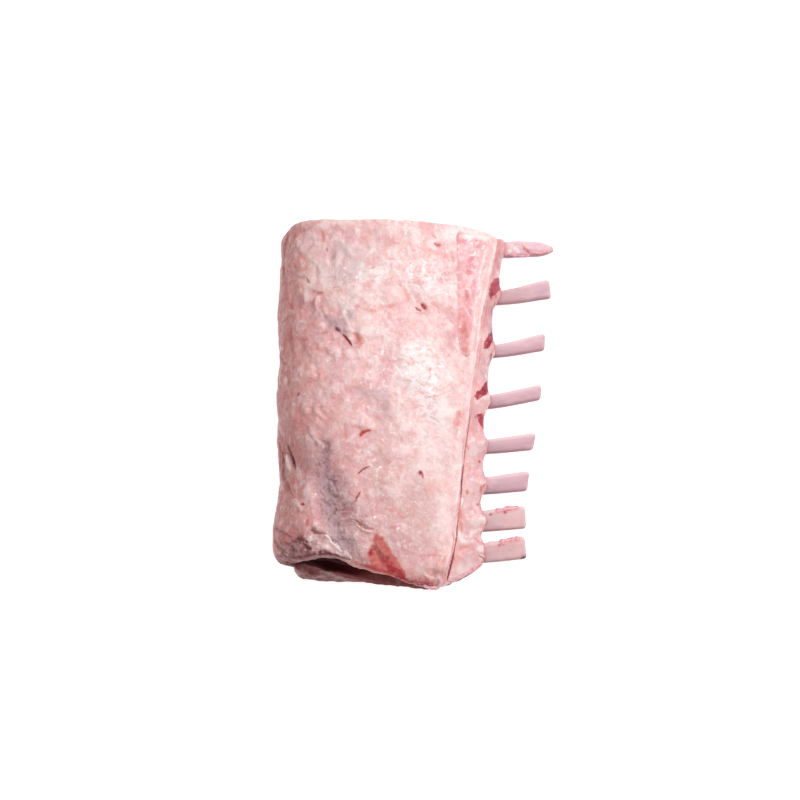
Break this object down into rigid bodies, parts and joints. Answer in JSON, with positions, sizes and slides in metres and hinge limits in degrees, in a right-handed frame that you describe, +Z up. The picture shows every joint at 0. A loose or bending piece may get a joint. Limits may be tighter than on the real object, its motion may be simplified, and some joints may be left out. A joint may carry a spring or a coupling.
{
  "type": "raw rack of lamb",
  "caption": "Raw rack of lamb with its fat cap left on and trimmed bare rib ends, lying fat side up on its chine edge and rib tips.",
  "frame": {"origin": "on the surface it stands on, under the middle of its box", "axes": "+Z up through the fat cap, +Y along the loin towards the loin end, +X across it towards the rib tips"},
  "size_m": [0.1666, 0.2135, 0.0607],
  "materials": {
    "outer_fat": "moist pale pink fat with a thin dried skin",
    "cap_muscle": "moist bare muscle, pale red under a film of fat",
    "inner_fat": "moist cream pink fat with red stains",
    "lean": "moist raw lean lamb",
    "bone": "moist scraped bone, pink lilac"
  },
  "bodies": {
    "root": {"fat_cap": "outer_fat", "cap_muscle": "cap_muscle", "cover_fat": "inner_fat", "lean_meat": "lean", "rib_1": "bone", "rib_2": "bone", "rib_3": "bone", "rib_4": "bone", "rib_5": "bone", "rib_6": "bone", "rib_7": "bone", "rib_8": "bone"}
  },
  "joints": []
}
